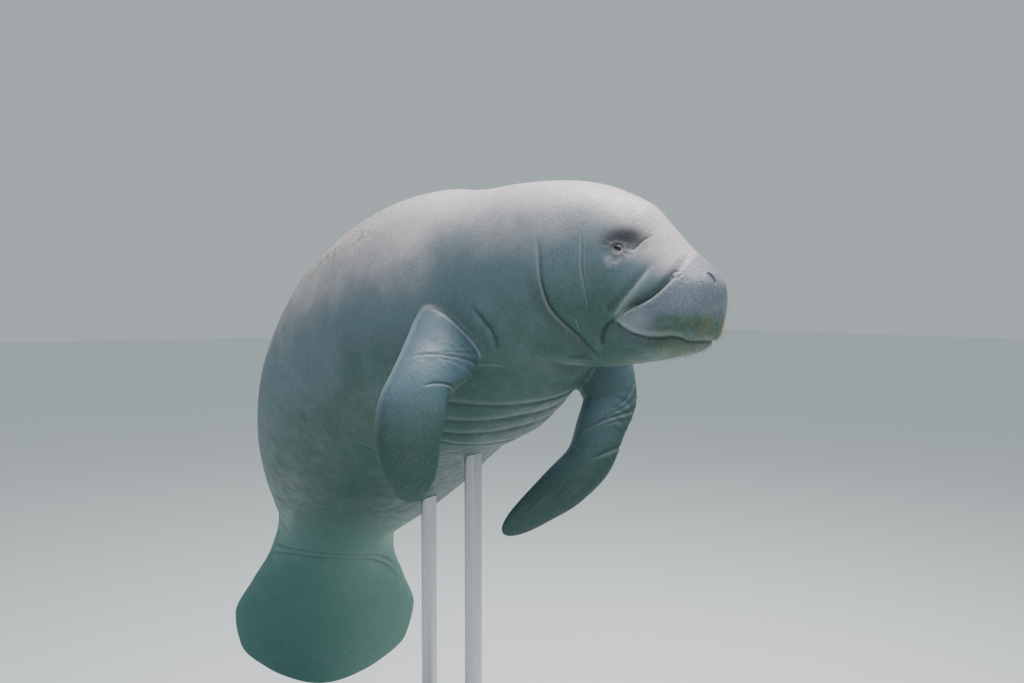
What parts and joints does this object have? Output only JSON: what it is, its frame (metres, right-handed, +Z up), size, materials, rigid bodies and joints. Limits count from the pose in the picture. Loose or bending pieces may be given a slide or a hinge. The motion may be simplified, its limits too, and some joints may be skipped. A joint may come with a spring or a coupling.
{
  "type": "manatee model on a display stand",
  "caption": "Life-size still model of a swimming manatee, head turned to its right, flippers and paddle tail hanging down, held on rods from a flat base.",
  "frame": {"origin": "centre of the bounding box at the underside of the stand's base", "axes": "+X the way the trunk heads, from the tail to the nose; +Y towards the animal's left; +Z up"},
  "size_m": [2.0043, 0.7236, 1.8272],
  "materials": {
    "skin": "wet, finely wrinkled hide, paler and pinkish on the back, green-grey below",
    "eye": "dark, wet and glossy",
    "stand_base": "satin dark grey paint",
    "stand_rod": "brushed"
  },
  "bodies": {
    "root": {"head": "skin", "lower_jaw": "skin", "neck": "skin", "chest": "skin", "belly": "skin", "loin": "skin", "tail_stock": "skin", "tail_paddle": "skin", "flipper_right": "skin", "flipper_left": "skin", "eye_right": "eye", "eye_left": "eye", "stand_base": "stand_base", "stand_rod_front": "stand_rod", "stand_rod_rear": "stand_rod"}
  },
  "joints": []
}
